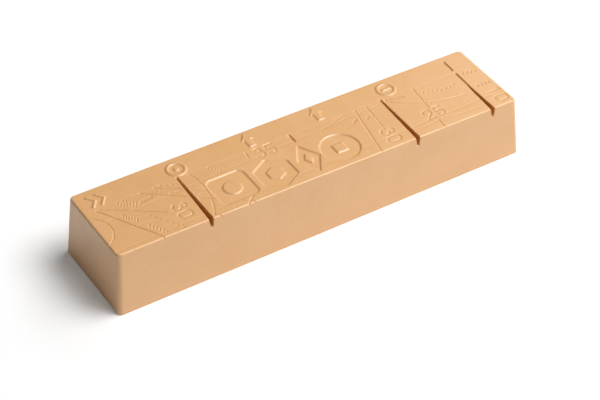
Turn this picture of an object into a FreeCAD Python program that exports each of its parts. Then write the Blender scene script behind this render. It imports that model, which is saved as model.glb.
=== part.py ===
"""A cast bar that snaps into four portions along three tapered scores.

Frame: +X along the bar, +Y across it towards the edge where the scores run out, +Z up.
The origin is the middle of the flat underside. All sizes are in millimetres.

The underside was poured, so it isn't quite parallel to the moulded top face: the bar lies on it
with its -X end a millimetre taller than its +X end.
"""
import FreeCAD, Part
import math
import os

from FreeCAD import Vector

# The bar, measured at its underside, which is its largest outline.
length = 147.0
width = 34.4
height = 21.7
draft_deg = 4.3
top_tilt_deg = 0.4
corner_radius = 1.6
top_edge_radius = 0.65
bottom_edge_radius = 0.25

# The scores. Each is a slot with leaning walls, widest and deepest at the front face. They run at a
# slight angle to the bar's width, and score_x is where each crosses the middle.
score_x = {"short_end": -39.9, "long_side": 34.3, "last": 63.0}
score_back_y = {"short_end": 6.6, "long_side": 6.6, "last": -1.3}
score_angle_deg = 1.5
score_front_depth = 3.0
score_front_half_width = 0.8
score_back_depth = 0.9
score_back_half_width = 0.36
score_floor_share = 0.45

# Relief on the top face.
mark_rise = 0.4
figure_depth = 0.4
digit_depth = 0.15
digit_stroke = 0.7
digit_height = 4.4
digit_width = 2.7
digit_gap = 1.3
tick_width = 0.7
tick_depth = 0.35

# How far a cutting tool reaches past the surface that it opens.
tool_overrun = 2.0

# How far the moulded block reaches below the underside before the underside is cut.
spare_depth = 2.0

draft_slope = math.tan(math.radians(draft_deg))
score_slant = math.tan(math.radians(score_angle_deg))


def half_width_at(z):
    """Half of the bar's width at height z."""
    return width / 2 - z * draft_slope


def half_length_at(z):
    """Half of the bar's length at height z."""
    return length / 2 - z * draft_slope


def on_score(name, y):
    """The point of a score's line at y."""
    return (score_x[name] + score_slant * y, y)


# ---------------------------------------------------------------- the casting


def drafted_block():
    """The plain casting: drafted sides, rounded corners and softened edges."""
    low_l, low_w = half_length_at(-spare_depth), half_width_at(-spare_depth)
    top_l, top_w = half_length_at(height), half_width_at(height)
    block = Part.makeWedge(
        -low_l, -spare_depth, -low_w, -top_w, -top_l,
        low_l, height, low_w, top_w, top_l,
    )
    block.rotate(Vector(0, 0, 0), Vector(1, 0, 0), 90)
    tall = height + spare_depth
    corners = [e for e in block.Edges if abs(e.BoundBox.ZLength - tall) < 0.01]
    block = block.makeFillet(corner_radius, corners)
    block = block.makeFillet(top_edge_radius, edges_at(block, height))
    block.rotate(Vector(0, 0, 0), Vector(0, 1, 0), top_tilt_deg)
    above = Part.makeBox(2 * length, 2 * width, 2 * height, Vector(-length, -width, 0))
    block = block.common(above)
    return block.makeFillet(bottom_edge_radius, edges_at(block, 0))


def edges_at(shape, z):
    """The edges of shape that lie flat at height z."""
    return [e for e in shape.Edges if abs(e.BoundBox.ZMin - z) + abs(e.BoundBox.ZMax - z) < 0.01]


def score_tool(name):
    """The tapered tool for one score, from its back end out through the front face."""
    back_y = score_back_y[name]
    front_y = -half_width_at(height)
    growth = (score_front_depth - score_back_depth) / (front_y - back_y)
    spread = (score_front_half_width - score_back_half_width) / (front_y - back_y)
    end_y = -width / 2 - tool_overrun
    sections = []
    for x, y in (on_score(name, back_y), on_score(name, end_y)):
        depth = score_back_depth + growth * (y - back_y)
        half = score_back_half_width + spread * (y - back_y)
        floor_half = half * score_floor_share
        top_half = half + (half - floor_half) / depth * tool_overrun
        sections.append(Part.makePolygon([
            Vector(x - floor_half, y, height - depth),
            Vector(x + floor_half, y, height - depth),
            Vector(x + top_half, y, height + tool_overrun),
            Vector(x - top_half, y, height + tool_overrun),
            Vector(x - floor_half, y, height - depth),
        ]))
    return Part.makeLoft(sections, True, True)


# ---------------------------------------------------------------- relief tools


def prism(points, bottom, top):
    """A right prism over a closed outline, from height bottom to height top."""
    outline = Part.makePolygon([Vector(x, y, bottom) for x, y in points + points[:1]])
    return Part.Face(outline).extrude(Vector(0, 0, top - bottom))


def regular_polygon(x, y, radius, sides, first_deg):
    """The corners of a regular polygon."""
    angles = [math.radians(first_deg + 360 * i / sides) for i in range(sides)]
    return [(x + radius * math.cos(a), y + radius * math.sin(a)) for a in angles]


def disc(x, y, radius, bottom, top):
    """An upright cylinder."""
    return Part.makeCylinder(radius, top - bottom, Vector(x, y, bottom))


def bar_stroke(start, end, stroke, bottom, top):
    """A straight stroke with round ends."""
    run = Vector(end[0] - start[0], end[1] - start[1], 0)
    side = Vector(-run.y, run.x, 0).normalize() * (stroke / 2)
    corners = [
        (start[0] + side.x, start[1] + side.y),
        (start[0] - side.x, start[1] - side.y),
        (end[0] - side.x, end[1] - side.y),
        (end[0] + side.x, end[1] + side.y),
    ]
    caps = [disc(x, y, stroke / 2, bottom, top) for x, y in (start, end)]
    return prism(corners, bottom, top).fuse(caps)


def arc_stroke(centre, radius, first_deg, last_deg, stroke, bottom, top):
    """A round stroke from first_deg anticlockwise to last_deg, with round ends."""
    sweep = last_deg - first_deg
    outer = Part.makeCylinder(
        radius + stroke / 2, top - bottom, Vector(*centre, bottom), Vector(0, 0, 1), sweep
    )
    band = outer.cut(disc(*centre, radius - stroke / 2, bottom, top))
    band.rotate(Vector(*centre, 0), Vector(0, 0, 1), first_deg)
    ends = [math.radians(a) for a in (first_deg, last_deg)]
    caps = [
        disc(centre[0] + radius * math.cos(a), centre[1] + radius * math.sin(a), stroke / 2, bottom, top)
        for a in ends
    ]
    return band.fuse(caps)


# Each digit is a list of strokes in a cell from (0, 0) to (digit_width, digit_height).
mid_x = digit_width / 2
bowl = digit_width / 2
low_bowl = 1.25
top_bowl = (digit_height - 2 * low_bowl) / 2
digit_strokes = {
    "0": [
        ("arc", (mid_x, digit_height - bowl), bowl, 0, 180),
        ("arc", (mid_x, bowl), bowl, 180, 360),
        ("bar", (0, bowl), (0, digit_height - bowl)),
        ("bar", (digit_width, bowl), (digit_width, digit_height - bowl)),
    ],
    "1": [
        ("bar", (mid_x, 0), (mid_x, digit_height)),
        ("bar", (mid_x, digit_height), (mid_x - 0.9, digit_height - 0.8)),
    ],
    "2": [
        ("arc", (mid_x, digit_height - bowl), bowl, -30, 180),
        ("bar", (mid_x + bowl * 0.866, digit_height - bowl * 1.5), (0, 0)),
        ("bar", (0, 0), (digit_width, 0)),
    ],
    "3": [
        ("arc", (mid_x, digit_height - top_bowl), top_bowl, -90, 160),
        ("arc", (mid_x, low_bowl), low_bowl, -160, 90),
    ],
    "5": [
        ("bar", (digit_width, digit_height), (0.3, digit_height)),
        ("bar", (0.3, digit_height), (0.15, digit_height - 1.9)),
        ("arc", (mid_x, low_bowl), low_bowl, -160, 130),
    ],
}


def digit_tools(number, x, y, turn_deg):
    """Engraving tools for a number centred on (x, y) and turned about it."""
    bottom, top = height - digit_depth, height + tool_overrun
    pitch = digit_width + digit_gap
    left = -(pitch * len(number) - digit_gap) / 2
    tools = []
    for i, digit in enumerate(number):
        shift = Vector(left + i * pitch, -digit_height / 2, 0)
        for kind, *shape in digit_strokes[digit]:
            make = arc_stroke if kind == "arc" else bar_stroke
            tool = make(*shape, digit_stroke, bottom, top)
            tool.translate(shift)
            tools.append(tool)
    for tool in tools:
        tool.rotate(Vector(0, 0, 0), Vector(0, 0, 1), turn_deg)
        tool.translate(Vector(x, y, 0))
    return tools


# Two-figure weights in grams: where each stands, and how far it is turned.
weight_marks = [
    ("30", -45.7, -7.4, -90),
    ("35", -10.3, 3.8, 0),
    ("30", 27.3, -9.9, -90),
    ("25", 45.2, -7.4, 0),
    ("10", 68.5, -9.9, -90),
]


def figure_tools():
    """The band of sunk figures: each is an outline less the island left standing in it."""
    bottom, top = height - figure_depth, height + tool_overrun
    square = prism([(-34.0, -12.4), (-21.0, -12.4), (-21.0, 0.2), (-34.0, 0.2)], bottom, top)
    square = square.makeFillet(2.2, [e for e in square.Edges if e.BoundBox.ZLength > 1])
    hexagon = prism(regular_polygon(-12.8, -7.0, 7.0, 6, 30), bottom, top)
    diamond = prism([(-4.6, -6.4), (-0.6, -13.4), (3.4, -6.4), (-0.6, 0.6)], bottom, top)
    round_one = disc(10.6, -6.8, 6.4, bottom, top)
    return [
        square.cut(disc(-27.5, -6.1, 3.0, bottom, top)),
        hexagon.cut(prism(regular_polygon(-12.8, -7.0, 3.0, 6, 30), bottom, top)),
        diamond.cut(prism([(-2.0, -6.4), (-0.6, -8.9), (0.8, -6.4), (-0.6, -3.9)], bottom, top)),
        round_one.cut(prism(regular_polygon(10.6, -6.8, 2.8, 4, 45), bottom, top)),
    ]


def ring(x, y):
    """A raised ring."""
    bottom, top = height - mark_rise, height + mark_rise
    return disc(x, y, 3.3, bottom, top).cut(disc(x, y, 2.4, bottom, top))


def dotted_ring_mark(x, y):
    """A raised ring with a raised dot at its centre."""
    return [ring(x, y), disc(x, y, 0.8, height - mark_rise, height + mark_rise)]


def barred_ring_mark(x, y):
    """A raised ring with a short raised bar across its middle."""
    bar_reach = 1.2
    start, end = (x - bar_reach, y), (x + bar_reach, y)
    return [ring(x, y), bar_stroke(start, end, 0.8, height - mark_rise, height + mark_rise)]


def arrow_mark(x, y):
    """A raised block arrow that points towards +Y."""
    head, shaft, tip, neck = 2.1, 1.1, 3.6, 0.2
    outline = [
        (x - shaft, y - tip), (x + shaft, y - tip), (x + shaft, y + neck), (x + head, y + neck),
        (x, y + tip), (x - head, y + neck), (x - shaft, y + neck),
    ]
    return [prism(outline, height - mark_rise, height + mark_rise)]


def chevron_mark(x, y):
    """Two raised chevrons side by side."""
    bottom, top = height - mark_rise, height + mark_rise
    marks = []
    for shift in (-1.5, 1.5):
        tip = (x + shift + 0.8, y)
        upper = bar_stroke((x + shift - 1.0, y + 2.4), tip, 0.8, bottom, top)
        marks.append(upper.fuse(bar_stroke(tip, (x + shift - 1.0, y - 2.4), 0.8, bottom, top)))
    return marks


def tick_tools():
    """The sunk dashes: one that halves the longest portion, one that carries on the last score."""
    bottom, top = height - tick_depth, height + tool_overrun
    dashes = [
        ((0, 3.0), (0, 6.3)),
        (on_score("last", 7.8), on_score("last", 12.6)),
        (on_score("last", score_back_y["last"]), on_score("last", 5.7)),
    ]
    return [bar_stroke(start, end, tick_width, bottom, top) for start, end in dashes]


# ---------------------------------------------------------------- the portions


def on_top_face(tools):
    """Tools made over a level face, turned to the tilt of the top face."""
    for tool in tools:
        tool.rotate(Vector(0, 0, height), Vector(0, 1, 0), top_tilt_deg)
    return tools


def casting():
    """The whole bar in one piece, with all of its relief."""
    raised = dotted_ring_mark(-38.0, 10.0) + barred_ring_mark(39.0, 10.2)
    raised += arrow_mark(-12.2, 11.0) + arrow_mark(13.0, 11.2) + chevron_mark(-65.1, 9.8)
    sunk = [score_tool(name) for name in score_x]
    sunk += tick_tools() + figure_tools()
    for number, x, y, turn_deg in weight_marks:
        sunk += digit_tools(number, x, y, turn_deg)
    return drafted_block().fuse(on_top_face(raised)).cut(on_top_face(sunk))


def portion(bar, low_x, high_x):
    """The stretch of the bar between two break planes, which slant as the scores do."""
    reach = width
    slant = score_slant * reach
    outline = [
        (low_x - slant, -reach), (high_x - slant, -reach), (high_x + slant, reach), (low_x + slant, reach),
    ]
    return bar.common(prism(outline, -height, 2 * height)).removeSplitter()


past_end = length
portion_ends = {
    "portion_30_g": (-past_end, score_x["short_end"]),
    "portion_65_g": (score_x["short_end"], score_x["long_side"]),
    "portion_25_g": (score_x["long_side"], score_x["last"]),
    "portion_10_g": (score_x["last"], past_end),
}

os.makedirs("parts", exist_ok=True)
bar = casting()
total = 0.0
for node, (low_x, high_x) in portion_ends.items():
    piece = portion(bar, low_x, high_x)
    piece.exportStep(f"parts/{node}.step")
    total += piece.Volume
    print(node, len(piece.Solids), "solid", piece.isValid(), round(piece.Volume / 1000, 2), "cm3")
print("whole bar cm3", round(total / 1000, 2))
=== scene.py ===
import math

import bpy
import numpy as np
from mathutils import Matrix, Vector


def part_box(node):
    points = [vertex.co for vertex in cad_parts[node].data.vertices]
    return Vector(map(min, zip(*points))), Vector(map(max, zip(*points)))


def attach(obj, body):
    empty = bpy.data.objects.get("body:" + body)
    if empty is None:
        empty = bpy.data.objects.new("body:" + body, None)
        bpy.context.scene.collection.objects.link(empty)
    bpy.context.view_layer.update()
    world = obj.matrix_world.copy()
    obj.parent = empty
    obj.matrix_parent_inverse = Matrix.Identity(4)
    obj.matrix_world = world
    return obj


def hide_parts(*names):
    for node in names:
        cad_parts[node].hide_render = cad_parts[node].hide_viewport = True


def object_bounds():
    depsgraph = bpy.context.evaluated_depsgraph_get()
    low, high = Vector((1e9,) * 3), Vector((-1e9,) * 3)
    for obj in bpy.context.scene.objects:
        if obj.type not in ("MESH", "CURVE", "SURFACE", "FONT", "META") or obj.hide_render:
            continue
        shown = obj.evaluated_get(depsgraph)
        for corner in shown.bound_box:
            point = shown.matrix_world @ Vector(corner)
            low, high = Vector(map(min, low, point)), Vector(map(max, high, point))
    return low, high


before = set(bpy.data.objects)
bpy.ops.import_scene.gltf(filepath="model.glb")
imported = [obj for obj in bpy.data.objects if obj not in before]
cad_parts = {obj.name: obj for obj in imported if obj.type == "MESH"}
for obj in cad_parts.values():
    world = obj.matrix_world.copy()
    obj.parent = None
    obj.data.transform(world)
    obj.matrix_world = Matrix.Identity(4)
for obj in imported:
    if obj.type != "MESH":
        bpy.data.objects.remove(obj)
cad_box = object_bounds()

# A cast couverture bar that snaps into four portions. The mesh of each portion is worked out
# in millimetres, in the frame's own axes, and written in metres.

# ---------------------------------------------------------------- sizes from the frame

MM = 0.001
PORTIONS = ["portion_30", "portion_65", "portion_25", "portion_10"]  # from -X to +X
NODES = {body: body + "_g" for body in PORTIONS}
BOXES = {body: [Vector(corner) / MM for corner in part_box(NODES[body])] for body in PORTIONS}

bar_low, bar_high = [Vector(corner) / MM for corner in cad_box]
half_length = (bar_high.x - bar_low.x) / 2
half_width = (bar_high.y - bar_low.y) / 2

# ---------------------------------------------------------------- sizes of the casting

draft_angle = math.radians(4.3)
draft_slope = math.tan(draft_angle)
top_tilt = math.tan(math.radians(0.4))
top_crown = 0.19  # the middle of the top face over its ends
corner_radius = 1.6
top_edge_radius = 0.65
bottom_edge_radius = 0.3
score_slant = math.tan(math.radians(1.5))  # the scores run at a slight angle to the width

# The last portion has nothing raised on it, so its box gives the height of the top face.
last_low, last_high = BOXES["portion_10"]
height = last_high.z + top_tilt * last_low.x
break_x = [BOXES[body][1].x - score_slant * half_width for body in PORTIONS[:-1]]

grid_steps = dict.fromkeys(PORTIONS, 0.165)  # across the relief face
grid_steps["portion_65"] = 0.205
side_step = 0.55  # down the sides and the broken faces
fillet_rings = 5
bottom_rings = 3
CAST, POURED, BROKEN = 0, 1, 2  # the material slots of a mesh


# ---------------------------------------------------------------- small tools


def smooth(t):
    """0 to 1 with flat ends."""
    t = np.clip(t, 0.0, 1.0)
    return t * t * (3.0 - 2.0 * t)


def inside(distance, wall):
    """1 well inside an outline and 0 well outside, across a wall of that width."""
    return smooth(0.5 - distance / wall)


def soft_positive(t, round_off):
    """max(t, 0), rounded over near 0."""
    h = np.clip(0.5 + 0.5 * t / round_off, 0.0, 1.0)
    return t * h + round_off * h * (1.0 - h)


def noise(x, y, cell, seed):
    """Smooth noise from -1 to 1 with features about cell across."""
    size = 256
    lattice = np.random.default_rng(seed).uniform(-1.0, 1.0, (size, size))
    u, v = np.asarray(x) / cell + size / 2, np.asarray(y) / cell + size / 2
    i, j = np.floor(u).astype(int), np.floor(v).astype(int)
    s, t = smooth(u - i), smooth(v - j)
    i, j = i % (size - 1), j % (size - 1)
    low = lattice[i, j] * (1 - s) + lattice[i + 1, j] * s
    high = lattice[i, j + 1] * (1 - s) + lattice[i + 1, j + 1] * s
    return low * (1 - t) + high * t


# ---------------------------------------------------------------- distances on the relief face


def from_segment(x, y, start, end):
    """Distance to a straight line with two ends."""
    run_x, run_y = end[0] - start[0], end[1] - start[1]
    along = ((x - start[0]) * run_x + (y - start[1]) * run_y) / (run_x**2 + run_y**2)
    along = np.clip(along, 0.0, 1.0)
    return np.hypot(x - start[0] - along * run_x, y - start[1] - along * run_y)


def from_arc(x, y, centre, radius, first_deg, last_deg):
    """Distance to an arc that runs anticlockwise from the first angle to the last."""
    dx, dy = x - centre[0], y - centre[1]
    turned = (np.degrees(np.arctan2(dy, dx)) - first_deg) % 360.0
    to_band = np.abs(np.hypot(dx, dy) - radius)
    to_ends = np.full_like(to_band, np.inf)
    for angle in (math.radians(first_deg), math.radians(last_deg)):
        end_x, end_y = radius * math.cos(angle), radius * math.sin(angle)
        to_ends = np.minimum(to_ends, np.hypot(dx - end_x, dy - end_y))
    return np.where(turned <= last_deg - first_deg, to_band, to_ends)


def from_disc(x, y, centre, radius):
    """Signed distance to a disc, below 0 inside it."""
    return np.hypot(x - centre[0], y - centre[1]) - radius


def from_polygon(x, y, points, rounding=0.0):
    """Signed distance to a closed outline, below 0 inside it, with its corners rounded outwards."""
    nearest = np.full(np.shape(x), np.inf)
    within = np.zeros(np.shape(x), bool)
    for (ax, ay), (bx, by) in zip(points, points[1:] + points[:1]):
        nearest = np.minimum(nearest, from_segment(x, y, (ax, ay), (bx, by)))
        if ay != by:
            crossing = (ay > y) != (by > y)
            within ^= crossing & (x < ax + (y - ay) * (bx - ax) / (by - ay))
    return np.where(within, -nearest, nearest) - rounding


def regular_polygon(centre, radius, sides, first_deg):
    """The corners of a regular polygon, of which the first is at the given angle."""
    angles = [math.radians(first_deg + 360.0 * i / sides) for i in range(sides)]
    return [(centre[0] + radius * math.cos(a), centre[1] + radius * math.sin(a)) for a in angles]


# ---------------------------------------------------------------- relief

# Each score follows a break plane, and gets shallower and narrower towards the back.
score_back_y = [6.6, 6.6, -1.3]  # where each score runs out
score_end_wall = 0.6
score_front_depth, score_back_depth = 3.0, 0.9
score_front_half_width, score_back_half_width = 0.8, 0.36
score_floor_share = 0.45  # the floor's width over the width at the top
score_lip, score_floor_round = 0.25, 0.35
score_clear = 3.4  # the depth under the top face that a score can reach
top_front_y = -(half_width - height * draft_slope)


def score_depths(x, y):
    """How deep the tapered scores are under each point of the relief face."""
    depth = np.zeros_like(x)
    for score_x, back_y in zip(break_x, score_back_y):
        along = np.maximum((y - back_y) / (top_front_y - back_y), 0.0)
        deepest = score_back_depth + (score_front_depth - score_back_depth) * along
        half = score_back_half_width + (score_front_half_width - score_back_half_width) * along
        across = np.abs(x - score_x - score_slant * y)
        wall = deepest * (1.0 - across / half) / (1.0 - score_floor_share)
        slot = soft_positive(wall, score_lip)
        slot = deepest - soft_positive(deepest - slot, score_floor_round)
        depth = np.maximum(depth, slot * inside(y - back_y, score_end_wall))
    return depth


digit_width, digit_height, digit_gap = 2.7, 4.4, 1.3
digit_stroke, digit_wall = 0.62, 0.4
digit_depth = 0.15
mid, tall = digit_width / 2, digit_height
top_bowl = (digit_height - 2 * mid) / 2
two_bowl_end = (mid * 1.866, tall - mid * 1.5)  # where the bowl of the 2 ends, at -30 degrees
DIGITS = {
    "0": [
        ("arc", (mid, tall - mid), mid, 0, 180),
        ("arc", (mid, mid), mid, 180, 360),
        ("bar", (0, mid), (0, tall - mid)),
        ("bar", (digit_width, mid), (digit_width, tall - mid)),
    ],
    "1": [
        ("bar", (mid, 0), (mid, tall)),
        ("bar", (mid, tall), (mid - 0.9, tall - 0.8)),
    ],
    "2": [
        ("arc", (mid, tall - mid), mid, -30, 180),
        ("bar", two_bowl_end, (0, 0)),
        ("bar", (0, 0), (digit_width, 0)),
    ],
    "3": [
        ("arc", (mid, tall - top_bowl), top_bowl, -90, 160),
        ("arc", (mid, mid), mid, -160, 90),
    ],
    "5": [
        ("bar", (digit_width, tall), (0.3, tall)),
        ("bar", (0.3, tall), (0.15, tall - 1.9)),
        ("arc", (mid, mid), mid, -160, 130),
    ],
}
WEIGHTS = [  # grams, centre, turn in degrees
    ("30", (-45.7, -7.4), -90),
    ("35", (-10.3, 3.8), 0),
    ("30", (27.3, -9.9), -90),
    ("25", (45.2, -7.4), 0),
    ("10", (68.5, -9.9), -90),
]


def from_strokes(x, y, strokes):
    """Distance to the nearest of some ("bar", start, end) and ("arc", centre, radius, first, last)."""
    nearest = np.full(np.shape(x), np.inf)
    for kind, *shape in strokes:
        measure = from_arc if kind == "arc" else from_segment
        nearest = np.minimum(nearest, measure(x, y, *shape))
    return nearest


def weight_depths(x, y):
    """How deep the engraved weights are."""
    depth = np.zeros_like(x)
    pitch = digit_width + digit_gap
    for number, (at_x, at_y), turn_deg in WEIGHTS:
        turn = math.radians(turn_deg)
        local_x = (x - at_x) * math.cos(turn) + (y - at_y) * math.sin(turn)
        local_y = -(x - at_x) * math.sin(turn) + (y - at_y) * math.cos(turn)
        left = -(pitch * len(number) - digit_gap) / 2
        for i, digit in enumerate(number):
            digit_x, digit_y = local_x - left - i * pitch, local_y + digit_height / 2
            edge = from_strokes(digit_x, digit_y, DIGITS[digit]) - digit_stroke / 2
            depth = np.maximum(depth, digit_depth * inside(edge, digit_wall))
    return depth


figure_depth = 0.33
figure_wall = 0.55


def figure_depths(x, y):
    """The band of sunk figures, each with an island left standing in it."""
    square = [(-31.8, -10.2), (-23.2, -10.2), (-23.2, -2.0), (-31.8, -2.0)]
    square_centre, hexagon_centre, circle_centre = (-27.5, -6.1), (-12.8, -7.0), (10.6, -6.8)
    hexagon = regular_polygon(hexagon_centre, radius=6.7, sides=6, first_deg=30)
    hexagon_island = regular_polygon(hexagon_centre, radius=2.8, sides=6, first_deg=30)
    diamond = [(-4.6, -6.4), (-0.6, -13.4), (3.4, -6.4), (-0.6, 0.6)]
    diamond_island = [(-2.0, -6.4), (-0.6, -8.9), (0.8, -6.4), (-0.6, -3.9)]
    square_island = regular_polygon(circle_centre, radius=2.6, sides=4, first_deg=45)
    figures = [  # (outline, island)
        (
            from_polygon(x, y, square, rounding=2.2),
            from_disc(x, y, square_centre, radius=3.0),
        ),
        (
            from_polygon(x, y, hexagon, rounding=0.3),
            from_polygon(x, y, hexagon_island, rounding=0.2),
        ),
        (
            from_polygon(x, y, diamond),
            from_polygon(x, y, diamond_island),
        ),
        (
            from_disc(x, y, circle_centre, radius=6.4),
            from_polygon(x, y, square_island, rounding=0.2),
        ),
    ]
    depth = np.zeros_like(x)
    for outline, island in figures:
        sunk = inside(outline, figure_wall) * (1.0 - inside(island, figure_wall))
        depth = np.maximum(depth, figure_depth * sunk)
    return depth


mark_rise = 0.28
mark_wall = 0.6


def mark_rises(x, y):
    """The raised marks along the back edge: two rings, two arrows and two chevrons."""
    dotted, barred = (-38.0, 10.0), (39.0, 10.2)
    ring_radius, ring_half_width, dot_radius = 2.85, 0.45, 0.8
    bar_reach, bar_half_width = 1.2, 0.4
    outlines = []
    for centre in (dotted, barred):
        outlines.append(np.abs(from_disc(x, y, centre, ring_radius)) - ring_half_width)
    outlines.append(from_disc(x, y, dotted, dot_radius))
    bar_ends = [(barred[0] + reach, barred[1]) for reach in (-bar_reach, bar_reach)]
    outlines.append(from_segment(x, y, *bar_ends) - bar_half_width)
    for at_x, at_y in ((-12.2, 10.7), (13.0, 10.9)):
        shaft, head, tip, neck = 1.1, 2.1, 3.3, 0.2
        arrow = [
            (at_x - shaft, at_y - tip),
            (at_x + shaft, at_y - tip),
            (at_x + shaft, at_y + neck),
            (at_x + head, at_y + neck),
            (at_x, at_y + tip),
            (at_x - head, at_y + neck),
            (at_x - shaft, at_y + neck),
        ]
        outlines.append(from_polygon(x, y, arrow))
    chevron_x, chevron_y = -65.1, 9.8
    chevron_tip, chevron_back, arm_reach, arm_half_width = 0.8, 1.0, 2.4, 0.4
    for shift in (-1.5, 1.5):
        tip = (chevron_x + shift + chevron_tip, chevron_y)
        for side in (-arm_reach, arm_reach):
            arm_end = (chevron_x + shift - chevron_back, chevron_y + side)
            outlines.append(from_segment(x, y, arm_end, tip) - arm_half_width)
    rise = np.zeros_like(x)
    for outline in outlines:
        rise = np.maximum(rise, mark_rise * inside(outline, mark_wall))
    return rise


dash_depth, dash_half_width, dash_wall = 0.45, 0.4, 0.4


def on_last_score(y):
    """The point at y on the line of the last score."""
    return (break_x[-1] + score_slant * y, y)


def dash_depths(x, y):
    """How deep the sunk dashes are: one at the middle of the bar, and two behind the last score."""
    dashes = [
        ((0.0, 3.0), (0.0, 6.3)),
        (on_last_score(7.8), on_last_score(12.6)),
        (on_last_score(score_back_y[-1]), on_last_score(5.7)),
    ]
    depth = np.zeros_like(x)
    for start, end in dashes:
        edge = from_segment(x, y, start, end) - dash_half_width
        depth = np.maximum(depth, dash_depth * inside(edge, dash_wall))
    return depth


# The fine lines of the field in front of the marks, drawn as on a technical drawing.
field_back_y, field_wall = 6.4, 0.5
field_depth = 0.12
fine_depth, slanting_depth, faint_depth = 0.19, 0.3, 0.11
fine_half_width, fine_wall = 0.13, 0.34
# A line's lean is 0 across the bar and 1 along it.
slanting_lean, along_lean = 0.4, 0.93
FINE_LINES = [  # (start, end)
    ((-73.0, -0.6), (33.0, 4.8)),
    ((-73.0, -13.7), (73.0, -9.1)),
    ((38.5, -12.0), (50.0, -10.6)),
    ((46.0, -11.6), (62.0, -12.9)),
    ((-68.0, -6.3), (-54.0, -7.1)),
    ((-67.8, 5.4), (-56.0, -15.2)),
    ((-66.8, 5.6), (-50.0, -5.8)),
    ((-53.0, 5.9), (-41.7, -2.4)),
    ((-48.2, 5.9), (-41.5, 1.6)),
    ((-39.0, -0.9), (-35.2, -3.2)),
    ((-38.8, -5.1), (-34.5, -7.9)),
    ((-38.4, -14.2), (-36.2, -15.6)),
    ((-28.5, -12.5), (-25.0, -15.2)),
    ((-27.2, -15.0), (-24.0, -12.4)),
    ((-15.9, 6.3), (-16.3, 2.8)),
    ((9.6, 2.8), (20.5, 6.4)),
    ((24.5, 6.3), (20.4, -15.2)),
    ((46.7, 6.3), (45.4, -5.2)),
    ((44.7, -10.8), (44.2, -15.2)),
    ((28.7, 6.3), (28.1, 0.5)),
]
FINE_ARCS = [  # (centre, radius, first angle, last angle)
    ((-75.0, -3.2), 7.6, -70, 70),
    ((-60.0, -1.0), 25.2, -31.6, 17),
    ((61.0, 33.5), 38.2, 228, 268),
]
TICK_ROWS = [  # (first centre, last centre, ticks, reach each way, angle)
    ((-60.8, 5.2), (-56.6, 1.2), 7, 0.35, 60),
    ((-59.0, 5.4), (-55.2, 1.6), 6, 0.35, 60),
    ((-62.2, -1.0), (-59.2, -4.2), 6, 0.6, 62),
    ((-57.4, -8.4), (-54.2, -13.4), 6, 0.6, 62),
    ((-54.4, 2.2), (-50.6, 2.7), 7, 0.6, 62),
    ((-49.7, 4.8), (-43.2, 0.6), 6, 0.32, -36),
    ((-46.0, 5.9), (-42.6, 4.4), 3, 0.32, -36),
    ((-55.2, -4.4), (-49.0, -14.2), 7, 0.4, -60),
    ((-38.4, -2.6), (-36.0, -5.6), 3, 0.32, -36),
    ((-29.3, 5.6), (-26.8, 2.6), 5, 0.3, 50),
    ((28.0, -0.9), (27.3, -6.0), 4, 0.4, 84),
    ((20.8, 1.2), (22.4, 2.2), 3, 0.4, 70),
    ((25.6, 0.8), (26.4, 1.2), 2, 0.3, 70),
    ((36.2, 5.6), (41.4, 4.4), 5, 0.5, -50),
    ((48.6, 3.2), (54.0, 1.0), 5, 0.3, 40),
    ((55.8, 0.8), (59.4, 1.6), 3, 0.35, 60),
    ((46.4, -1.4), (47.8, -2.6), 2, 0.4, 40),
    ((65.2, 4.6), (69.4, 3.6), 4, 0.4, 60),
    ((65.6, -3.2), (69.8, -3.4), 4, 0.4, 80),
]


def fine_grooves(x, y):
    """How deep the fine lines, arcs and ticks are, and how much painted shade each gets, from 0 to 1.
    """
    strokes = []  # (distance, depth, colour)
    for start, end in FINE_LINES:
        lean = abs(end[0] - start[0]) / math.dist(start, end)
        # Lines across the bar and slanting lines get painted shade; lines along the bar, which the
        # light leaves bright, get none.
        if lean < slanting_lean:
            depth, colour = fine_depth, 1.0
        elif lean < along_lean:
            depth, colour = slanting_depth, 1.0
        else:
            depth, colour = faint_depth, 0.0
        strokes.append((from_segment(x, y, start, end), depth, colour))
    for arc in FINE_ARCS:
        strokes.append((from_arc(x, y, *arc), fine_depth, 1.0))
    for (first_x, first_y), (last_x, last_y), ticks, reach, angle_deg in TICK_ROWS:
        reach_x = reach * math.cos(math.radians(angle_deg))
        reach_y = reach * math.sin(math.radians(angle_deg))
        for along in np.linspace(0.0, 1.0, ticks):
            at_x = first_x + (last_x - first_x) * along
            at_y = first_y + (last_y - first_y) * along
            ends = (at_x - reach_x, at_y - reach_y), (at_x + reach_x, at_y + reach_y)
            strokes.append((from_segment(x, y, *ends), fine_depth, 1.0))
    depth, painted_shade = np.zeros(np.shape(x)), np.zeros(np.shape(x))
    for distance, stroke_depth, colour in strokes:
        stroke = inside(distance - fine_half_width, fine_wall)
        depth = np.maximum(depth, stroke_depth * stroke)
        painted_shade = np.maximum(painted_shade, colour * stroke)
    return depth, painted_shade


def face_height(x):
    """Height of the top face over the underside: tilted along the bar, and slightly crowned."""
    return height - top_tilt * x + top_crown * (0.5 - (x / half_length) ** 2)


def relief_height(x, y):
    """Height of the relief over the underside."""
    figures = figure_depths(x, y)
    in_field = inside(y - field_back_y, field_wall)
    fine = fine_grooves(x, y)[0] * in_field * (1.0 - figures / figure_depth)
    sunk = np.maximum(figures, weight_depths(x, y))
    sunk = np.maximum(np.maximum(sunk, fine), dash_depths(x, y))
    sunk = np.maximum(sunk + field_depth * (in_field - 0.5), score_depths(x, y))
    return face_height(x) - sunk + mark_rises(x, y)


# ---------------------------------------------------------------- a portion's mesh


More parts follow.
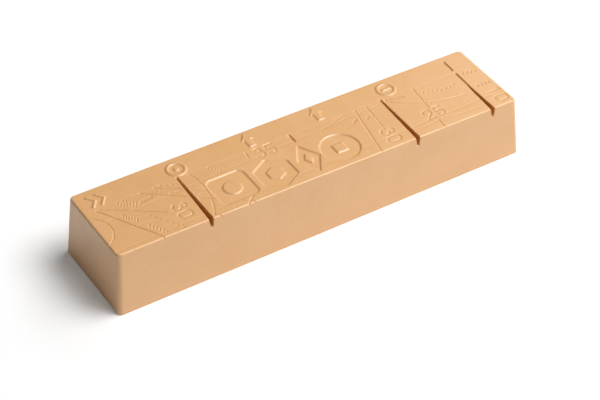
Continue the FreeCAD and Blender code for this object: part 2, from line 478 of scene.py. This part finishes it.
def spread(low, high, step, fine_ends):
    """An even number of steps from low to high, half as long near the ends in fine_ends."""
    fine_reach = 2.4  # this far from an end, the steps are halfway between dense and plain
    samples = 4001
    dense = np.linspace(low, high, samples)
    steps_per_mm = np.full_like(dense, 1.0 / step)
    for end in fine_ends:
        steps_per_mm *= 1.0 + smooth(1.5 - np.abs(dense - end) / fine_reach)
    total = np.concatenate([[0.0], np.cumsum((steps_per_mm[1:] + steps_per_mm[:-1]) / 2)])
    total *= dense[1] - dense[0]
    count = int(math.ceil(total[-1] / 2)) * 2
    return np.interp(np.linspace(0.0, total[-1], count + 1), total, dense)


def rounded_plan(x, y, x_limits, y_limits, radius, rounded):
    """Moves points of a rectangle so that its corners at the rounded ends (-1, +1) are round."""
    for end_sign in rounded:
        end_x = x_limits[0] if end_sign < 0 else x_limits[1]
        centre_x = end_x - end_sign * radius
        for side_sign in (-1, 1):
            side_y = y_limits[0] if side_sign < 0 else y_limits[1]
            centre_y = side_y - side_sign * radius
            out_x = (x - centre_x) * end_sign
            out_y = (y - centre_y) * side_sign
            corner = (out_x > 0) & (out_y > 0)
            reach = np.maximum(out_x, out_y)
            length = np.where(corner, np.hypot(out_x, out_y), 1.0)
            scale = np.where(corner, reach / length, 1.0)
            x = np.where(corner, centre_x + (x - centre_x) * scale, x)
            y = np.where(corner, centre_y + (y - centre_y) * scale, y)
    return x, y


wall_top_drop = top_edge_radius * (1.0 - math.sin(draft_angle))
fillet_reach = top_edge_radius * math.cos(draft_angle)

corner_wear = 0.8  # on the upright corners
break_fade = 2.0  # how far in from its edges a break reaches its full roughness
BREAK_GRAIN = [  # (height, size, seed)
    (0.32, 4.3, 900),
    (0.16, 1.7, 901),
    (0.08, 0.8, 902),
]
hollow_depth, hollow_fade = 0.10, 3.5  # of the underside
ripple_height, ripple_fade, ripple_size, ripple_seed = 0.03, 2.0, 5.0, 31


class Portion:
    """One portion's mesh: the relief face, rings down its four sides, and the underside."""

    def __init__(self, body):
        self.body = body
        index = PORTIONS.index(body)
        self.low = break_x[index - 1] if index > 0 else None
        self.high = break_x[index] if index < len(break_x) else None
        self.rounded = [s for s, plane in ((-1, self.low), (1, self.high)) if plane is None]
        top_reach = half_length - (height - wall_top_drop) * draft_slope - fillet_reach
        low = -top_reach if self.low is None else self.low
        high = top_reach if self.high is None else self.high
        planes = [plane for plane in (self.low, self.high) if plane is not None]
        columns = spread(low, high, grid_steps[body], planes)
        top_y = self.plan_reach(half_width, height, 0.0)
        rows = spread(-top_y, top_y, grid_steps[body], [])
        self.u = (columns - low) / (high - low)
        self.v = (rows + top_y) / (2 * top_y)
        self.verts, self.wear, self.quads, self.tris = [], [], [], []
        self.count = 0

    def plan_reach(self, half, z, outward):
        """Half of the plan at the top edge's fillet, which springs from height z."""
        return half - (z - wall_top_drop) * draft_slope - fillet_reach + outward

    def plan(self, u, v, reach_x, reach_y, radius):
        """Where (u, v) of the unit square lies in a slice where the bar reaches that far."""
        y = reach_y * (2 * v - 1)
        low = -reach_x if self.low is None else self.low + score_slant * y
        high = reach_x if self.high is None else self.high + score_slant * y
        x = low + (high - low) * u
        return rounded_plan(x, y, (low, high), (-reach_y, reach_y), radius, self.rounded)

    def add(self, points, wear=0.0):
        """Adds points, with the rubbed wear (above 0) or painted shade (below 0) of each from -1 to 1,
        and returns their numbers.
        """
        first = self.count
        self.verts.append(points)
        self.wear.append(np.broadcast_to(wear, len(points)))
        self.count += len(points)
        return np.arange(first, self.count)

    def build(self):
        """The closed mesh, in metres."""
        u, v = np.meshgrid(self.u, self.v, indexing="ij")
        reach_x = np.full_like(u, self.plan_reach(half_length, height, 0.0))
        reach_y = self.plan_reach(half_width, height, 0.0)
        radius = corner_radius - fillet_reach
        x, y = self.plan(u, v, reach_x, reach_y, radius)
        end_x = np.where(u < 0.5, -half_length, half_length)
        reach_x = self.plan_reach(half_length, face_height(end_x), 0.0)
        edge_y = np.where(v < 0.5, -reach_y, reach_y)
        edge_z = relief_height(x, edge_y)
        x, y = self.plan(u, v, reach_x, self.plan_reach(half_width, edge_z, 0.0), radius)
        z = relief_height(x, y)
        wear = edge_wear(x, y, z)
        top = self.add(np.stack([x, y, z], -1).reshape(-1, 3), wear.ravel()).reshape(u.shape)
        self.grid_faces(top, CAST, False)
        loop_u, loop_v, loop_z = round_loop(u), round_loop(v), round_loop(z)
        loop = round_loop(top)
        for k in range(1, fillet_rings + 1):
            angle = (math.pi / 2 - draft_angle) * k / fillet_rings
            points = self.fillet_points(loop_u, loop_v, loop_z, angle)
            loop = self.ring(loop, loop_u, points, 1.0)
        loop_u, loop_v, loop_z = loop_u[::2], loop_v[::2], loop_z[::2]
        wall_top = loop_z - wall_top_drop
        rows = int(round((height - wall_top_drop - bottom_edge_radius) / side_step))
        for k in range(1, rows + 1):
            z = wall_top + (bottom_edge_radius - wall_top) * k / rows
            points = self.wall_points(loop_u, loop_v, z)
            wear = np.where(self.at_corner(points), corner_wear, 0.0)
            make = self.halved_ring if k == 1 else self.ring
            loop = make(loop, loop_u, points, wear)
        for k in range(1, bottom_rings + 1):
            angle = math.pi / 2 * k / bottom_rings
            inward = bottom_edge_radius * (1.0 - math.cos(angle))
            z = np.full_like(loop_z, bottom_edge_radius * (1.0 - math.sin(angle)))
            loop = self.ring(loop, loop_u, self.wall_points(loop_u, loop_v, z, inward), 1.0)
        self.underside(loop)
        return self.mesh()

    def fillet_points(self, u, v, top_z, angle):
        """A ring on the top edge's fillet, turned by the angle from the top face."""
        outward = top_edge_radius * math.sin(angle)
        reach_x = self.plan_reach(half_length, top_z, outward)
        reach_y = self.plan_reach(half_width, top_z, outward)
        radius = corner_radius - fillet_reach + outward
        x, y = self.plan(u, v, reach_x, reach_y, radius)
        z = top_z - top_edge_radius * (1.0 - math.cos(angle))
        return self.broken(u, x, y, z)

    def wall_points(self, u, v, z, inward=0.0):
        """A ring on the drafted sides at height z."""
        reach_x = half_length - z * draft_slope - inward
        reach_y = half_width - z * draft_slope - inward
        x, y = self.plan(u, v, reach_x, reach_y, corner_radius - inward)
        return self.broken(u, x, y, z)

    def broken(self, u, x, y, z):
        """Roughens the points that lie on a break plane, away from its edges."""
        for end_u, plane in ((0.0, self.low), (1.0, self.high)):
            if plane is None:
                continue
            reach_y = half_width - z * draft_slope
            from_edge = np.minimum(reach_y - np.abs(y), np.minimum(z, height - score_clear - z))
            window = smooth(from_edge / break_fade)
            grain = sum(h * noise(y, z, size, int(plane) + seed) for h, size, seed in BREAK_GRAIN)
            x = np.where(u == end_u, x + window * grain, x)
        return np.stack([x, y, z], -1)

    def on_break(self, u, next_u):
        """Which steps round a ring lie on a break plane."""
        on = np.zeros(len(u), bool)
        for end_u, plane in ((0.0, self.low), (1.0, self.high)):
            if plane is not None:
                on |= (u == end_u) & (next_u == end_u)
        return on

    def at_corner(self, points):
        """Which points lie on a rounded upright corner."""
        x, y, z = points.T
        from_end = half_length - z * draft_slope - np.abs(x)
        from_side = half_width - z * draft_slope - np.abs(y)
        return (from_end < corner_radius) & (from_side < corner_radius)

    def ring(self, above, u, points, wear):
        """A ring of points below another, with the faces between them."""
        below = self.add(points, wear)
        slots = np.where(self.on_break(u, np.roll(u, -1)), BROKEN, CAST)
        quads = np.stack([above, below, np.roll(below, -1), np.roll(above, -1)], -1)
        self.quads.append((quads, slots))
        return below

    def halved_ring(self, above, u, points, wear):
        """A ring with half as many points: three triangles bridge each pair of steps."""
        below = self.add(points, wear)
        slots = np.where(self.on_break(u, np.roll(u, -1)), BROKEN, CAST)
        first, middle, last = above[::2], above[1::2], np.roll(above[::2], -1)
        after = np.roll(below, -1)
        for tri in ((first, below, middle), (middle, below, after), (middle, after, last)):
            self.tris.append((np.stack(tri, -1), slots))
        return below

    def grid_faces(self, grid, slot, facing_down):
        """The faces of a grid of points, all of one material."""
        a, b, c, d = grid[:-1, :-1], grid[1:, :-1], grid[1:, 1:], grid[:-1, 1:]
        order = (a, d, c, b) if facing_down else (a, b, c, d)
        quads = np.stack([corner.ravel() for corner in order], -1)
        self.quads.append((quads, np.full(len(quads), slot)))

    def underside(self, loop):
        """The face that was open in the mould: slightly hollow, with a low rim."""
        u, v = np.meshgrid(self.u[::2], self.v[::2], indexing="ij")
        reach_x = np.full_like(u, half_length - bottom_edge_radius)
        reach_y = np.full_like(u, half_width - bottom_edge_radius)
        x, y = self.plan(u, v, reach_x, reach_y, corner_radius - bottom_edge_radius)
        from_edge = np.minimum(half_length - np.abs(x), half_width - np.abs(y))
        ripple = ripple_height * smooth(from_edge / ripple_fade) * noise(x, y, ripple_size, ripple_seed)
        hollow = hollow_depth * smooth(from_edge / hollow_fade) + ripple
        grid = np.zeros(u.shape, int)
        inner = np.zeros(u.shape, bool)
        inner[1:-1, 1:-1] = True
        points = np.stack([x, y, hollow], -1)
        grid[inner] = self.add(points[inner])
        set_round_loop(grid, loop)
        self.grid_faces(grid, POURED, True)

    def mesh(self):
        """The Blender mesh of the points and faces so far."""
        points = np.concatenate(self.verts) * MM
        faces = [f for block, _ in self.quads for f in block.tolist()]
        faces += [f for block, _ in self.tris for f in block.tolist()]
        slots = np.concatenate([s for _, s in self.quads] + [s for _, s in self.tris])
        mesh = bpy.data.meshes.new(self.body + "_cast")
        mesh.from_pydata(points.tolist(), [], faces)
        mesh.polygons.foreach_set("material_index", slots.astype(np.int32))
        mesh.polygons.foreach_set("use_smooth", np.ones(len(faces), bool))
        # the attribute holds the rubbed wear of the edges and the painted shade of the recesses
        wear = mesh.attributes.new("edge_wear", "FLOAT", "POINT")
        wear.data.foreach_set("value", np.concatenate(self.wear))
        mark_material_borders_sharp(mesh)
        mesh.validate()
        return mesh


def round_loop(grid):
    """The border of a grid as one closed loop, anticlockwise from above."""
    return np.concatenate([grid[:-1, 0], grid[-1, :-1], grid[:0:-1, -1], grid[0, :0:-1]])


def set_round_loop(grid, loop):
    """Writes a closed loop of the same length into a grid's border."""
    nx, ny = grid.shape[0] - 1, grid.shape[1] - 1
    grid[:-1, 0] = loop[:nx]
    grid[-1, :-1] = loop[nx:nx + ny]
    grid[:0:-1, -1] = loop[nx + ny:2 * nx + ny]
    grid[0, :0:-1] = loop[2 * nx + ny:]


# Below 0 this value is painted shade: a darker colour in the hollows, lines, dashes, digits and scores.
bend_scale = 3.0  # the bend in 1/mm that would count as full wear
most_rubbed, most_shaded = 0.4, 0.2  # the most that a bend alone counts, outwards and inwards
line_shade, dash_shade, digit_shade = 0.9, 0.5, 0.3
score_shade_depth = 0.9  # from here down a score has its full shade


def edge_wear(x, y, z):
    """Above 0 on the convex edges of the relief, which are rubbed, and below 0 where shade is painted:
    in the hollows, the lines, dashes and digits, and down to -1 in the scores.
    """
    smallest_step = 1e-3
    step_x = np.maximum(np.gradient(x, axis=0), smallest_step)
    step_y = np.maximum(np.gradient(y, axis=1), smallest_step)
    bend = np.gradient(np.gradient(z, axis=0) / step_x, axis=0) / step_x
    bend += np.gradient(np.gradient(z, axis=1) / step_y, axis=1) / step_y
    wear = np.clip(-bend / bend_scale, -most_shaded, most_rubbed)
    # painted shade in the lines across the field, in the dashes and in the digits
    lined = (y < field_back_y) & (figure_depths(x, y) == 0.0)
    painted_shade = line_shade * np.where(lined, fine_grooves(x, y)[1], 0.0) ** 2
    painted_shade = np.maximum(painted_shade, dash_shade * dash_depths(x, y) / dash_depth)
    painted_shade = np.maximum(painted_shade, digit_shade * weight_depths(x, y) / digit_depth)
    wear = np.where(painted_shade > 0.0, -painted_shade, wear)
    # painted shade down each score, full from score_shade_depth down
    score = score_depths(x, y)
    return np.where(score > score_lip, -smooth(score / score_shade_depth), wear)


def mark_material_borders_sharp(mesh):
    """Edges where two materials meet are real corners, so shading breaks there."""
    edge_slot = {}
    for face in mesh.polygons:
        for key in face.edge_keys:
            edge_slot.setdefault(key, set()).add(face.material_index)
    sharp = [len(edge_slot[edge.key]) > 1 for edge in mesh.edges]
    attribute = mesh.attributes.new("sharp_edge", "BOOLEAN", "EDGE")
    attribute.data.foreach_set("value", sharp)


# ---------------------------------------------------------------- materials


class Nodes:
    """Adds shader nodes to a new material. An input is given as a socket to link or as a value."""

    def __init__(self, name):
        self.material = bpy.data.materials.new(name)
        self.material.use_nodes = True
        self.tree = self.material.node_tree
        self.shader = self.tree.nodes["Principled BSDF"]

    def fill(self, node, inputs):
        """Links or sets some of a node's inputs."""
        for key, value in inputs.items():
            if isinstance(value, bpy.types.NodeSocket):
                self.tree.links.new(value, node.inputs[key])
            else:
                node.inputs[key].default_value = value

    def add(self, kind, inputs, **settings):
        """A new node."""
        node = self.tree.nodes.new(kind)
        for key, value in settings.items():
            setattr(node, key, value)
        self.fill(node, inputs)
        return node

    def place(self, stretch=(1.0, 1.0, 1.0)):
        """Object coordinates in millimetres, stretched along each axis."""
        source = self.add("ShaderNodeTexCoord", {}).outputs["Object"]
        scale = [1.0 / (MM * factor) for factor in stretch]
        return self.add("ShaderNodeMapping", {"Vector": source, "Scale": scale}).outputs["Vector"]

    def noise(self, where, size, detail=2.0, distortion=0.0):
        """Noise whose features are about size millimetres across."""
        inputs = {"Vector": where, "Scale": 1.0 / size, "Detail": detail, "Distortion": distortion}
        return self.add("ShaderNodeTexNoise", inputs).outputs["Fac"]

    def cells(self, where, size, output="Distance"):
        """Voronoi cells about size millimetres across."""
        inputs = {"Vector": where, "Scale": 1.0 / size}
        return self.add("ShaderNodeTexVoronoi", inputs).outputs[output]

    def cell_tints(self, where, size):
        """A random value from 0 to 1 for each of the same cells."""
        inputs = {"Color": self.cells(where, size, "Color")}
        return self.add("ShaderNodeSeparateColor", inputs).outputs["Red"]

    def remap(self, value, from_low, from_high, to_low, to_high):
        """Takes one range of values to another, and stops at its ends."""
        inputs = {
            "Value": value,
            "From Min": from_low, "From Max": from_high,
            "To Min": to_low, "To Max": to_high,
        }
        return self.add("ShaderNodeMapRange", inputs).outputs["Result"]

    def math(self, operation, a, b):
        """A sum, a product or the like of two values."""
        return self.add("ShaderNodeMath", {0: a, 1: b}, operation=operation).outputs[0]

    def mix(self, factor, colour_a, colour_b):
        """A colour between two colours, each a socket or red, green and blue."""
        factor_input, a_input, b_input, colour_output = 0, 6, 7, 2  # of a Mix node for colours
        inputs = {factor_input: factor}
        for key, colour in ((a_input, colour_a), (b_input, colour_b)):
            is_socket = isinstance(colour, bpy.types.NodeSocket)
            inputs[key] = colour if is_socket else (*colour, 1.0)
        return self.add("ShaderNodeMix", inputs, data_type="RGBA").outputs[colour_output]

    def bump(self, height, depth_mm, below=None):
        """Bump from a height of 0 to 1, over any bump already made."""
        inputs = {"Height": height, "Strength": 1.0, "Distance": depth_mm * MM}
        if below is not None:
            inputs["Normal"] = below
        return self.add("ShaderNodeBump", inputs).outputs["Normal"]


CARAMEL = (0.775, 0.437, 0.19)
CARAMEL_DEEP = (0.755, 0.414, 0.17)
CARAMEL_PALE = (0.80, 0.478, 0.238)
# Painted shade: the deep caramel put at the bottom of the scores and lines.
CARAMEL_PAINTED_SHADE = (0.54, 0.215, 0.015)  # at the bottom of the scores and lines
FLOOR_DIM, FLOOR_BRIGHT = (0.90, 0.90, 0.90), (0.93, 0.93, 0.93)
WHITE = (1.0, 1.0, 1.0, 1.0)
COUVERTURE_IOR = 1.5


def cast_surface():
    """The faces that touched the mould: satin, with faint mottling, pinholes, rubbed edges, and painted
    shade in the scores, lines and hollows.
    """
    nodes = Nodes("cast_surface")
    place = nodes.place()
    # the paleness of the rubbed edges, and how far the painted shade darkens the recesses
    rubbed_paleness, painted_shade_strength = 0.3, 0.92
    scuffed_roughness, rubbed_roughness, recess_roughness = 0.07, 0.12, 0.4
    clouds = nodes.noise(place, size=14.0, detail=3.0, distortion=0.6)
    mottling = nodes.noise(place, size=1.3, detail=3.0)
    colour = nodes.mix(nodes.remap(clouds, 0.35, 0.65, 0.0, 1.0), CARAMEL_DEEP, CARAMEL)
    colour = nodes.mix(nodes.remap(mottling, 0.45, 0.75, 0.0, 0.35), colour, CARAMEL_PALE)
    wear = nodes.add("ShaderNodeAttribute", {}, attribute_name="edge_wear").outputs["Fac"]
    patches = nodes.noise(place, size=2.2, detail=4.0)
    patches = nodes.remap(patches, 0.4, 0.62, 0.15, 1.0)
    rubbed = nodes.math("MULTIPLY", nodes.math("MAXIMUM", wear, 0.0), patches)
    colour = nodes.mix(nodes.math("MULTIPLY", rubbed, rubbed_paleness), colour, CARAMEL_PALE)
    # painted shade: the scores, lines, dashes, digits and hollows are darkened towards a deep caramel
    painted_shade_mask = nodes.remap(wear, 0.0, -1.0, 0.0, painted_shade_strength)
    colour = nodes.mix(painted_shade_mask, colour, CARAMEL_PAINTED_SHADE)

    scuffs = nodes.noise(nodes.place(stretch=(14.0, 0.35, 1.0)), size=1.0, detail=3.0)
    scuffs = nodes.remap(scuffs, 0.58, 0.72, 0.0, 1.0)
    roughness = nodes.noise(place, size=5.0, detail=4.0)
    roughness = nodes.remap(roughness, 0.3, 0.7, 0.31, 0.41)
    for mask, rougher in (
        (scuffs, scuffed_roughness), (rubbed, rubbed_roughness), (painted_shade_mask, recess_roughness),
    ):
        roughness = nodes.math("ADD", roughness, nodes.math("MULTIPLY", mask, rougher))

    pinhole_spacing = 3.2
    at_centre = nodes.remap(nodes.cells(place, pinhole_spacing), 0.03, 0.07, 1.0, 0.0)
    chosen = nodes.remap(nodes.cell_tints(place, pinhole_spacing), 0.8, 0.82, 0.0, 1.0)
    pinholes = nodes.math("MULTIPLY", at_centre, chosen)
    satin = nodes.noise(place, size=0.45, detail=2.0)
    waves = nodes.noise(place, size=4.0, detail=1.0)
    normal = nodes.bump(satin, depth_mm=0.012)
    normal = nodes.bump(waves, depth_mm=0.03, below=normal)
    normal = nodes.bump(nodes.math("SUBTRACT", 1.0, pinholes), depth_mm=0.06, below=normal)
    nodes.fill(nodes.shader, {
        "Base Color": colour, "Roughness": roughness, "Normal": normal,
        "Specular IOR Level": 0.85, "IOR": COUVERTURE_IOR,
    })
    return nodes.material


def poured_surface():
    """The face that was open in the mould: duller, with scrape lines and slow swirls."""
    nodes = Nodes("poured_surface")
    place = nodes.place()
    swirls = nodes.noise(place, size=9.0, detail=4.0, distortion=1.6)
    streaks = nodes.noise(nodes.place(stretch=(22.0, 0.9, 1.0)), size=1.0, detail=4.0)
    satin = nodes.noise(place, size=0.4, detail=3.0)
    colour = nodes.mix(nodes.remap(swirls, 0.35, 0.65, 0.0, 1.0), CARAMEL_DEEP, CARAMEL_PALE)
    colour = nodes.mix(nodes.remap(streaks, 0.5, 0.75, 0.0, 0.5), colour, CARAMEL)
    roughness = nodes.remap(swirls, 0.3, 0.7, 0.46, 0.62)
    normal = nodes.bump(streaks, depth_mm=0.09)
    normal = nodes.bump(swirls, depth_mm=0.25, below=normal)
    normal = nodes.bump(satin, depth_mm=0.02, below=normal)
    nodes.fill(nodes.shader, {
        "Base Color": colour, "Roughness": roughness, "Normal": normal,
        "Specular IOR Level": 0.6, "IOR": COUVERTURE_IOR,
    })
    return nodes.material


def broken_surface():
    """A fresh break: matt and granular, paler than the cast faces."""
    nodes = Nodes("broken_surface")
    place = nodes.place()
    grain_size = 0.55
    grains = nodes.cells(place, grain_size)
    tints = nodes.cell_tints(place, grain_size)
    crumbs = nodes.noise(place, size=1.8, detail=5.0, distortion=0.4)
    colour = nodes.mix(nodes.remap(tints, 0.0, 1.0, 0.0, 0.6), CARAMEL, CARAMEL_PALE)
    colour = nodes.mix(nodes.remap(crumbs, 0.35, 0.6, 0.7, 0.0), colour, CARAMEL_DEEP)
    roughness = nodes.remap(crumbs, 0.3, 0.7, 0.72, 0.92)
    normal = nodes.bump(grains, depth_mm=0.10)
    normal = nodes.bump(crumbs, depth_mm=0.35, below=normal)
    nodes.fill(nodes.shader, {
        "Base Color": colour, "Roughness": roughness, "Normal": normal,
        "Specular IOR Level": 0.4, "IOR": COUVERTURE_IOR,
    })
    return nodes.material


def pale_floor():
    """A plain studio floor, lit a little from behind."""
    nodes = Nodes("pale_floor")
    grain = nodes.noise(nodes.place(), size=30.0, detail=3.0)
    nodes.fill(nodes.shader, {
        "Base Color": nodes.mix(grain, FLOOR_DIM, FLOOR_BRIGHT), "Roughness": 0.7,
        "Emission Color": WHITE, "Emission Strength": 0.17,
    })
    return nodes.material


surfaces = {CAST: cast_surface(), POURED: poured_surface(), BROKEN: broken_surface()}

for body in PORTIONS:
    mesh = Portion(body).build()
    for slot in sorted(surfaces):
        mesh.materials.append(surfaces[slot])
    piece = bpy.data.objects.new(body + "_cast", mesh)
    bpy.context.scene.collection.objects.link(piece)
    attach(piece, body)
    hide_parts(NODES[body])

# ---------------------------------------------------------------- floor, light and camera

floor_reach = 2.0
floor_corners = [
    (-floor_reach, -floor_reach, 0.0),
    (floor_reach, -floor_reach, 0.0),
    (floor_reach, floor_reach, 0.0),
    (-floor_reach, floor_reach, 0.0),
]
floor_mesh = bpy.data.meshes.new("floor")
floor_mesh.from_pydata(floor_corners, [], [(0, 1, 2, 3)])
floor = bpy.data.objects.new("floor", floor_mesh)
floor_mesh.materials.append(pale_floor())
bpy.context.scene.collection.objects.link(floor)


SOFTBOXES = [  # (name, azimuth and elevation in degrees, width in metres, power in watts)
    ("key", 60, 60, 0.75, 12.4),
    ("front", 40, 55, 0.75, 3.1),
    ("key_side", 80, 55, 0.75, 2.0),
    ("right", 100, 30, 0.75, 1.7),
    ("back_right", 124, 34, 0.5, 1.6),
]
softbox_distance = 1.2


def softbox(name, azimuth_deg, elevation_deg, width, power):
    """A square area light that faces the bar. Azimuth 0 is in front, and 90 is on the right."""
    azimuth, elevation = math.radians(azimuth_deg), math.radians(elevation_deg)
    direction = Vector((
        math.sin(azimuth) * math.cos(elevation),
        -math.cos(azimuth) * math.cos(elevation),
        math.sin(elevation),
    ))
    light = bpy.data.lights.new(name, "AREA")
    light.size = width
    light.energy = power
    lamp = bpy.data.objects.new(name, light)
    lamp.location = direction * softbox_distance
    lamp.rotation_euler = direction.to_track_quat("Z", "Y").to_euler()
    bpy.context.scene.collection.objects.link(lamp)


for light_settings in SOFTBOXES:
    softbox(*light_settings)

world_strength = 0.01
world = bpy.data.worlds.new("studio")
world.use_nodes = True
background = world.node_tree.nodes["Background"]
background.inputs["Color"].default_value = WHITE
background.inputs["Strength"].default_value = world_strength
bpy.context.scene.world = world

camera_azimuth = math.radians(-32.337)
camera_elevation = math.radians(40.660)
camera_roll = math.radians(0.432)
camera_distance = 0.63209
camera_right, camera_up = 0.00030, -0.00009  # off the line through the origin
camera_lens = 120.05
camera_data = bpy.data.cameras.new("camera")
camera_data.lens = camera_lens
camera_data.clip_start = 0.01
camera = bpy.data.objects.new("camera", camera_data)
turn = (
    Matrix.Rotation(camera_azimuth, 3, "Z")
    @ Matrix.Rotation(math.pi / 2 - camera_elevation, 3, "X")
    @ Matrix.Rotation(camera_roll, 3, "Z")
)
camera_place = turn @ Vector((camera_right, camera_up, camera_distance))
camera.matrix_world = Matrix.Translation(camera_place) @ turn.to_4x4()
bpy.context.scene.collection.objects.link(camera)
bpy.context.scene.camera = camera
bpy.context.scene.view_settings.view_transform = "Standard"
